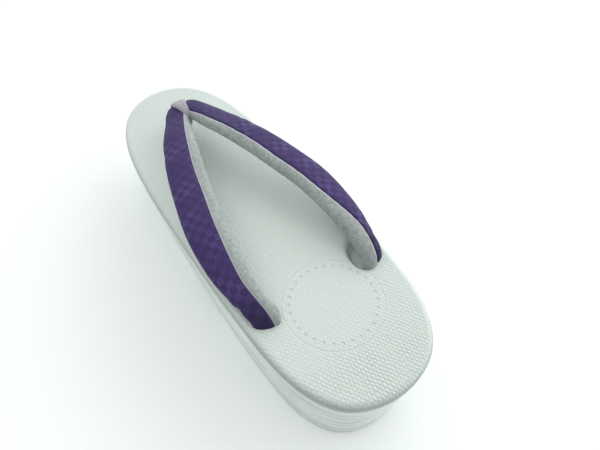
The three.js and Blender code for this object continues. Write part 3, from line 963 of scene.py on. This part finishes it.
def velvet_nap():
    tree, given, result = group(
        "velvet nap",
        {"Vector": VECTOR, "Place": VECTOR, "Depth": FLOAT, "Base": COLOUR, "Shade": COLOUR,
         "Edge Color": COLOUR, "Edge Width": FLOAT, "Slot Wear": FLOAT},
        {"Color": COLOUR, "Normal": VECTOR})
    fibres = noise(tree, given["Vector"], **FIBRES)["Fac"]
    brushed = noise(tree, given["Vector"], **BRUSHING)["Fac"]
    mottle = plus(tree, times(tree, fibres, FIBRE_SHARE), times(tree, brushed, 1 - FIBRE_SHARE))
    colour = blend(tree, ramp(tree, mottle, *NAP_SPREAD), given["Shade"], given["Base"])
    place = axes_of(tree, given["Place"])
    # painted highlight along the seam
    near = ramp(tree, place["X"], EDGE_HIGHLIGHT_FROM, given["Edge Width"], EDGE_HIGHLIGHT_STRENGTH, 0.0)
    colour = blend(tree, near, colour, given["Edge Color"])
    # painted shadow near the slot
    wear_and_shade = ramp(tree, place["Y"], *SLOT_SHADOW_REACH, given["Slot Wear"], 0.0)
    feed(tree, result["Color"], blend(tree, wear_and_shade, colour, SLOT_SHADOW_GREY))
    feed(tree, result["Normal"], bump(tree, mottle, given["Depth"]))
    return tree


NAP = velvet_nap()
print(f"{NAP.name}: {len(NAP.nodes)} nodes")

# %% [markdown]
# A cover pressed by a roller has faint level streaks, and soft clouds where it was glued. The streaks
# are noise squeezed in height, so that it is long in the other two directions. The wall's cover and the
# rubber share them, so they are a group too.

# %% Shared roller streaks
STREAK_SQUEEZE = (1.0, 1.0, 30.0)
STREAKS = {"scale": 24.0, "detail": 5.0, "roughness": 0.62}
CLOUDS = {"scale": 30.0, "detail": 2.0}
STREAK_SHARE = 0.75


def roller_streaks():
    tree, given, result = group("roller streaks", {"Vector": VECTOR}, {"Streaks": FLOAT, "Tone": FLOAT})
    squeezed = put(tree, "Mapping", Vector=given["Vector"], Scale=STREAK_SQUEEZE).outputs[0]
    streaks = noise(tree, squeezed, **STREAKS)["Fac"]
    clouds = noise(tree, given["Vector"], **CLOUDS)["Fac"]
    tone = plus(tree, times(tree, streaks, STREAK_SHARE), times(tree, clouds, 1 - STREAK_SHARE))
    feed(tree, result["Streaks"], streaks)
    feed(tree, result["Tone"], tone)
    return tree


ROLLER = roller_streaks()
print(f"{ROLLER.name}: {len(ROLLER.nodes)} nodes")

# %% [markdown]
# The board's vinyl is embossed all over with small raised pebbles in slanting rows. They could be
# modelled, but there are thousands of them, each a fifth of a millimetre high, so they are bump: waves
# in two directions and their sum, nudged by noise so that the rows aren't ruled.

# %% Pebbles
ROW_TURNS = (math.radians(33), math.radians(166))
ROW_PITCH = 1.5 * mm
ROW_NUDGE = 2.2 * mm
SECOND_SHARE = 0.8  # how strong the second set of rows is beside the first
BOTH_SHARE = 0.55
PEBBLE_SPREAD = (-1.2, 1.9)  # sums of the waves that lie in a valley and on a crest


def wave(tree, value, period):
    return maths(tree, "COSINE", times(tree, value, 2 * math.pi / period))


def across_rows(tree, axes, turn):
    """How far round its wave each place is, for rows that run square to a direction."""
    x = times(tree, axes["X"], math.cos(turn) * 2 * math.pi / ROW_PITCH)
    y = times(tree, axes["Y"], math.sin(turn) * 2 * math.pi / ROW_PITCH)
    return plus(tree, x, y)


def pebbles(tree, coordinates):
    """Three sets of rows cross, and where their crests meet a pebble stands."""
    axes = axes_of(tree, nudged(tree, coordinates, ROW_NUDGE, detail=3.0, roughness=0.6))
    first, second = (across_rows(tree, axes, turn) for turn in ROW_TURNS)
    turns = (first, second, plus(tree, first, second))
    crests = [maths(tree, "COSINE", turn) for turn in turns]
    two = plus(tree, crests[0], times(tree, crests[1], SECOND_SHARE))
    return ramp(tree, plus(tree, two, times(tree, crests[2], BOTH_SHARE)), *PEBBLE_SPREAD)


print(f"pebbles: rows {ROW_PITCH / mm:.1f} mm apart")

# %% [markdown]
# The heel of the board carries a plain pressed ornament: a thin circle and inside it a ring of round
# pips. Thirty pips could be thirty meshes, but pressed that shallow they are bump as well: the distance
# from the centre gives the circle, and the bearing, cut into equal parts, gives the pips.

# %% Pressed ring
RING_CENTRE = Vector((0, -74, 0)) * mm
RING_RADIUS = 22.5 * mm
RING_LINE = 0.3 * mm
LINE_SHARE = 0.4  # how deep the circle is beside the pips
RING_PIPS = 30
PIP_RADIUS = 19.3 * mm
PIP_SIZE = 0.95 * mm


def pressed_ring(tree, coordinates):
    """A circle and a ring of pips, from 0 on the plain cover to 1 where pressed, and the radius."""
    centred = put(tree, "VectorMath", {"operation": "SUBTRACT"}, i0=coordinates, i1=RING_CENTRE).outputs[0]
    spot = axes_of(tree, centred)
    flat = put(tree, "CombineXYZ", X=spot["X"], Y=spot["Y"]).outputs[0]
    radius = put(tree, "VectorMath", {"operation": "LENGTH"}, i0=flat).outputs["Value"]
    bearing = maths(tree, "ARCTAN2", spot["Y"], spot["X"])
    off = maths(tree, "ABSOLUTE", maths(tree, "SUBTRACT", radius, RING_RADIUS))
    line = ramp(tree, off, 0.5 * RING_LINE, 1.5 * RING_LINE, 1.0, 0.0)
    turn = maths(tree, "FRACT", times(tree, bearing, RING_PIPS / (2 * math.pi)))
    aside = times(tree, maths(tree, "SUBTRACT", turn, 0.5), 2 * math.pi * PIP_RADIUS / RING_PIPS)
    inward = maths(tree, "SUBTRACT", radius, PIP_RADIUS)
    reach = maths(tree, "SQRT", plus(tree, times(tree, aside, aside), times(tree, inward, inward)))
    pips = ramp(tree, reach, 0.5 * PIP_SIZE, PIP_SIZE, 1.0, 0.0)
    return maths(tree, "MAXIMUM", times(tree, line, LINE_SHARE), pips), radius


print(f"ring: {RING_PIPS} pips, {2 * PIP_RADIUS / mm:.1f} mm across")

# %% [markdown]
# The vinyl is embossed most at the heel. Walking and the press of the ring have flattened the pebbles
# elsewhere, so each place gets a factor for how high they stand. Pebbles, a loose roughness, the ring and
# the fine grain are stacked as bumps, each resting on the last. The tint follows the relief: valleys get
# painted shade, worn patches are paler, and the rolled rim gets painted shade low down, where it turns
# under.

# %% Embossed vinyl
PEBBLE_DEPTH = 0.20 * mm
RING_DEPTH = 0.24 * mm
WORN_SPREAD = (0.35, 0.65)
WORN_PRESS = 0.5
HEEL_REACH = (-108 * mm, -88 * mm)  # behind the first the pebbles stand at their full height
FRONT_PRESS = 0.5
MARK_PRESS = 0.3
RING_PRESS = 0.6
VINYL = (0.57, 0.63, 0.598)
# the valley colour is painted shade in the pebbles' valleys
VINYL_VALLEY_SHADE = (0.46, 0.51, 0.485)
VINYL_WORN = (0.62, 0.665, 0.65)
VINYL_PRESSED = (0.44, 0.49, 0.465)
# painted shade on the lower part of the rolled rim, where it turns under
VINYL_RIM_SHADE = (0.20, 0.225, 0.215)
WORN_SCALE, ROUGH_SCALE, VINYL_GRAIN = 35.0, 650.0, 2500.0
WORN_SHARE, PRESSED_SHARE, RIM_SHADE_SHARE = 0.2, 0.3, 0.75
WIDE_SPREAD = (0.3, 0.7)
RIM_REACH = (0.05 * mm, 2.2 * mm)
RING_ZONE = (0.8 * RING_RADIUS, 1.15 * RING_RADIUS)
MARK_FULL = 0.6
VALLEY_TOP = 0.5


def pebble_height(tree, coordinates, wear_and_shade, mark, radius):
    """How high the pebbles stand, from 0 to 1: less where worn, at the mark and in front of the heel."""
    ahead = axes_of(tree, coordinates)["Y"]
    patches = ramp(tree, wear_and_shade, *WORN_SPREAD, WORN_PRESS, 1.0)
    height = times(tree, patches, ramp(tree, ahead, *HEEL_REACH, 1.0, FRONT_PRESS))
    height = times(tree, height, ramp(tree, mark, 0.0, MARK_FULL, 1.0, MARK_PRESS))
    return times(tree, height, ramp(tree, radius, *RING_ZONE, RING_PRESS, 1.0))


def vinyl_relief(tree, coordinates, relief, mark):
    """The normal over pebbles with a loose roughness, then the ring, then the fine grain."""
    rough = noise(tree, coordinates, ROUGH_SCALE, 2.0, 0.6)["Fac"]
    pebbled = bump(tree, plus(tree, relief, rough), PEBBLE_DEPTH)
    sunk = bump(tree, mark, -RING_DEPTH, Normal=pebbled)
    grain = place_group(tree, GRAIN, Vector=coordinates, Scale=VINYL_GRAIN, Depth=GRAIN_DEPTH, Normal=sunk)
    return grain["Normal"]


def vinyl_tint(tree, wear_and_shade, mark, valley_shade):
    # painted shade in the pebbles' valleys
    tint = blend(tree, valley_shade, VINYL, VINYL_VALLEY_SHADE)
    tint = blend(tree, ramp(tree, wear_and_shade, *WIDE_SPREAD, 0.0, WORN_SHARE), tint, VINYL_WORN)
    tint = blend(tree, ramp(tree, mark, 0.0, 1.0, 0.0, PRESSED_SHARE), tint, VINYL_PRESSED)
    # painted shade on the rolled rim's lower part, where it turns under
    drop = axes_of(tree, uv_of(tree, "rim"))["X"]
    return blend(tree, ramp(tree, drop, *RIM_REACH, 0.0, RIM_SHADE_SHARE), tint, VINYL_RIM_SHADE)


def embossed_vinyl():
    made, tree, shader = finish("embossed vinyl", 0.36, Coat_Weight=0.2, Coat_Roughness=0.3)
    coordinates = put(tree, "TexCoord").outputs["Object"]
    wear_and_shade = noise(tree, coordinates, WORN_SCALE, 2.0)["Fac"]
    mark, radius = pressed_ring(tree, coordinates)
    rows = pebbles(tree, coordinates)
    stand = pebble_height(tree, coordinates, wear_and_shade, mark, radius)
    valley_shade = times(tree, maths(tree, "SUBTRACT", 1.0, ramp(tree, rows, 0.0, VALLEY_TOP)), stand)
    feed(tree, shader.inputs["Base Color"], vinyl_tint(tree, wear_and_shade, mark, valley_shade))
    feed(tree, shader.inputs["Normal"], vinyl_relief(tree, coordinates, times(tree, rows, stand), mark))
    return made


wear(board, embossed_vinyl())

# %% [markdown]
# The wall's cover is the same vinyl without the embossing: smooth and pearly, which a thin coat gives
# over a plain pale ground. The outsole is bare rubber, a little greyer and duller, with no coat. Their
# streaks come from the shared group, and where a streak is pale it is glossier too.

# %% Wall and outsole
STREAK_SPREAD = (0.36, 0.64)
STREAK_DEPTH = 0.06 * mm
COVER_GRAIN = 1800.0
DULLER, GLOSSIER = 0.1, 0.06  # how far a streak's roughness strays from the cover's own
WALL_PALE, WALL_DEEP = (0.76, 0.80, 0.78), (0.48, 0.54, 0.53)
RUBBER_PALE, RUBBER_DEEP = (0.73, 0.76, 0.73), (0.58, 0.63, 0.60)


def smooth_cover(name, pale, deep, roughness, coat):
    made, tree, shader = finish(name, roughness, Coat_Weight=coat, Coat_Roughness=0.35)
    coordinates = put(tree, "TexCoord").outputs["Object"]
    rolled = place_group(tree, ROLLER, Vector=coordinates)
    tone = rolled["Tone"]
    feed(tree, shader.inputs["Base Color"], blend(tree, ramp(tree, tone, *STREAK_SPREAD), deep, pale))
    gloss = ramp(tree, tone, *WIDE_SPREAD, roughness + DULLER, roughness - GLOSSIER)
    feed(tree, shader.inputs["Roughness"], gloss)
    ribs = bump(tree, rolled["Streaks"], STREAK_DEPTH)
    grain = place_group(tree, GRAIN, Vector=coordinates, Scale=COVER_GRAIN, Depth=GRAIN_DEPTH, Normal=ribs)
    feed(tree, shader.inputs["Normal"], grain["Normal"])
    return made


cover = smooth_cover("pearly cover", WALL_PALE, WALL_DEEP, 0.36, 0.3)
rubber = smooth_cover("outsole rubber", RUBBER_PALE, RUBBER_DEEP, 0.55, 0.0)
for name, piece in sole_pieces.items():
    is_outsole = name == "outsole_block"
    wear(piece, rubber if is_outsole else cover)

# %% [markdown]
# The lining and the toe strap are the same short velvet in two greys: soft, without gloss, paler where
# the pile turns to the light, which a little sheen gives. On the lining, a painted highlight at the seam
# makes a pale lilac line next to the purple. On the toe strap only a thin painted highlight remains.

# %% Velvets
NAP_DEPTH = 0.08 * mm
VELVETS = {
    # each velvet's edge colour is a painted highlight along its seam, and its slot value sets a painted
    # shadow near the slot
    "lining velvet": {
        "Base": (0.38, 0.41, 0.40), "Shade": (0.22, 0.255, 0.245),
        "Edge_Color": (0.56, 0.53, 0.64), "Edge_Width": 1.1 * mm, "Slot_Wear": 0.25,
    },
    "toe strap velvet": {
        "Base": (0.37, 0.37, 0.39), "Shade": (0.27, 0.27, 0.29),
        "Edge_Color": (0.40, 0.39, 0.42), "Edge_Width": 0.3 * mm, "Slot_Wear": 0.0,
    },
}


def velvet(name):
    made, tree, shader = finish(name, 0.9, Sheen_Weight=0.15, Sheen_Roughness=0.5, Specular_IOR_Level=0.2)
    coordinates = put(tree, "TexCoord").outputs["Object"]
    edge = uv_of(tree, "edge")
    nap = place_group(tree, NAP, Vector=coordinates, Place=edge, Depth=NAP_DEPTH, **VELVETS[name])
    feed(tree, shader.inputs["Base Color"], nap["Color"])
    feed(tree, shader.inputs["Normal"], nap["Normal"])
    return made


wear(padding, velvet("lining velvet"))
wear(toe_strap, velvet("toe strap velvet"))

# %% [markdown]
# The figured cloth is a damask: its squares are all one purple, and only the weave changes from square
# to square, so they differ in shine more than in colour. That shine is painted sheen: the shining squares
# are a lighter purple. An image would fix their place and size, but two sines give the squares and two
# finer waves the threads, in real millimetres. Threads run along the arm in one square and across it in
# the next. Noise patches dim the painted sheen, and painted shade darkens the cloth by the slots and the
# seams.

# %% Squares and threads
CHECK = 3.3 * mm
CHECK_TURN = math.radians(7)
CHECK_NUDGE = 0.7 * mm
CHECK_EDGE = 0.10
THREAD = 0.32 * mm


def squares_and_threads(tree, weave):
    """The squares, 0 or 1 with soft edges, and the threads' waves, which turn with them."""
    moved = nudged(tree, weave, CHECK_NUDGE, detail=1.0)
    axes = axes_of(tree, put(tree, "Mapping", Vector=moved, Rotation=(0, 0, CHECK_TURN)).outputs[0])
    across, along = (maths(tree, "SINE", times(tree, axes[axis], math.pi / CHECK)) for axis in ("X", "Y"))
    squares = ramp(tree, times(tree, across, along), -CHECK_EDGE, CHECK_EDGE)
    warp, weft = (wave(tree, axes[axis], THREAD) for axis in ("X", "Y"))
    others = maths(tree, "SUBTRACT", 1.0, squares)
    return squares, plus(tree, times(tree, warp, squares), times(tree, weft, others))


print(f"squares {CHECK / mm:.1f} mm wide, threads {THREAD / mm:.2f} mm apart")

# %% Figured cloth finish
# the shining squares' lighter purple is painted sheen
PURPLE, PURPLE_SHINE = (0.050, 0.031, 0.119), (0.076, 0.051, 0.180)
THREAD_SHADE, SLOT_SHADE, EDGE_SHADE = (0.03, 0.02, 0.07), (0.020, 0.016, 0.042), (0.016, 0.012, 0.035)
THREAD_SHARE, SLOT_SHARE, EDGE_SHARE = 0.25, 0.6, 0.25
PATCH_SCALE = 55.0
PATCH_SPREAD = (0.38, 0.62)
PATCH_SHINE = 0.15
FADE_REACH = (95 * mm, 135 * mm)  # along the arm, where the squares fade towards the joint
FADED_SHINE = 0.35
SLOT_REACH = (12 * mm, 30 * mm)
EDGE_REACH = (0.3 * mm, 1.2 * mm)
CLOTH_ROUGHNESS = (0.62, 0.42)  # of a dull square and of a shining one
THREAD_DEPTH = 0.04 * mm
SQUARE_DEPTH = 0.08 * mm


def cloth_tint(tree, shine, threads, length, edge):
    tint = blend(tree, shine, PURPLE, PURPLE_SHINE)
    tint = blend(tree, ramp(tree, threads, -1.0, 1.0, 0.0, THREAD_SHARE), tint, THREAD_SHADE)
    tint = blend(tree, ramp(tree, length, *SLOT_REACH, SLOT_SHARE, 0.0), tint, SLOT_SHADE)
    return blend(tree, ramp(tree, edge, *EDGE_REACH, EDGE_SHARE, 0.0), tint, EDGE_SHADE)


def figured_cloth():
    made, tree, shader = finish("figured cloth", 0.6, Specular_IOR_Level=0.12)
    weave = uv_of(tree, "weave")
    squares, threads = squares_and_threads(tree, weave)
    length = axes_of(tree, weave)["Y"]
    edge = axes_of(tree, uv_of(tree, "edge"))["X"]
    # noise patches dim the painted sheen
    patches = ramp(tree, noise(tree, weave, PATCH_SCALE, 2.0)["Fac"], *PATCH_SPREAD, PATCH_SHINE, 1.0)
    shine = times(tree, times(tree, squares, patches), ramp(tree, length, *FADE_REACH, 1.0, FADED_SHINE))
    feed(tree, shader.inputs["Base Color"], cloth_tint(tree, shine, threads, length, edge))
    feed(tree, shader.inputs["Roughness"], ramp(tree, shine, 0.0, 1.0, *CLOTH_ROUGHNESS))
    woven = bump(tree, threads, THREAD_DEPTH, Strength=0.5)
    feed(tree, shader.inputs["Normal"], bump(tree, squares, SQUARE_DEPTH, Normal=woven))
    return made


purple = figured_cloth()
for piece in (cloth_left, cloth_right):
    wear(piece, purple)

# %% [markdown]
# The sandal stands on a plain pale floor. One large face is enough, because nothing on it shows but
# soft shadow.

# %% Floor
FLOOR_SIZE = 6.0
FLOOR_PALE = (0.95, 0.975, 0.97)


def lay_floor():
    bm = bmesh.new()
    bmesh.ops.create_grid(bm, x_segments=1, y_segments=1, size=FLOOR_SIZE / 2)
    mesh = bpy.data.meshes.new("floor")
    bm.to_mesh(mesh)
    bm.free()
    floor = bpy.data.objects.new("floor", mesh)
    bpy.context.scene.collection.objects.link(floor)
    made, tree, shader = finish("pale floor", 0.7, Specular_IOR_Level=0.2)
    feed(tree, shader.inputs["Base Color"], FLOOR_PALE)
    floor.data.materials.append(made)
    print(f"floor: {FLOOR_SIZE:.0f} m wide")


lay_floor()

# %% [markdown]
# The light is that of a bright white room. Lamps would throw edged shadows and show in the gloss, so the
# world itself glows, most on the right and low down, which lays the straps' soft shadows across the
# board, and a paler glow high on the left fills them. Past the floor's edge a level pale tone is seen.

# %% Light
SKY = [  # bearing and height of each glow in degrees, and its strength
    (0, 12, 3.25), (60, 12, 2.00), (-60, 12, 1.60), (120, 12, 0.70),
    (180, 50, 1.43), (60, 50, 0.56), (120, 50, 0.44),
]
GLOW_SHARPNESS = 5.0
ROOM_WHITE = (0.975, 1.0, 0.985)
BACKDROP_STRENGTH = 0.97  # what is seen past the floor's edge, which lights nothing


def glow(tree, direction, bearing, height, strength):
    """Light that falls off smoothly all round one direction."""
    middle = Vector((1, 0, 0))
    middle.rotate(Euler((0, -math.radians(height), math.radians(bearing))))
    facing = put(tree, "VectorMath", {"operation": "DOT_PRODUCT"}, i0=direction, i1=middle).outputs["Value"]
    return times(tree, maths(tree, "POWER", maths(tree, "MAXIMUM", facing, 0.0), GLOW_SHARPNESS), strength)


def pale_room():
    world = bpy.data.worlds.new("pale room")
    world.use_nodes = True
    tree = world.node_tree
    direction = put(tree, "TexCoord").outputs["Generated"]
    total = 0.0
    for row in SKY:
        total = plus(tree, glow(tree, direction, *row), total)
    seen = put(tree, "LightPath").outputs["Is Camera Ray"]
    strength = put(tree, "Mix", {"data_type": "FLOAT"}, i0=seen, i2=total, i3=BACKDROP_STRENGTH).outputs[0]
    background = tree.nodes["Background"]
    feed(tree, background.inputs["Color"], ROOM_WHITE)
    feed(tree, background.inputs["Strength"], strength)
    bpy.context.scene.world = world
    print(f"light: {len(SKY)} glows")


pale_room()
bpy.context.scene.view_settings.view_transform = "Standard"
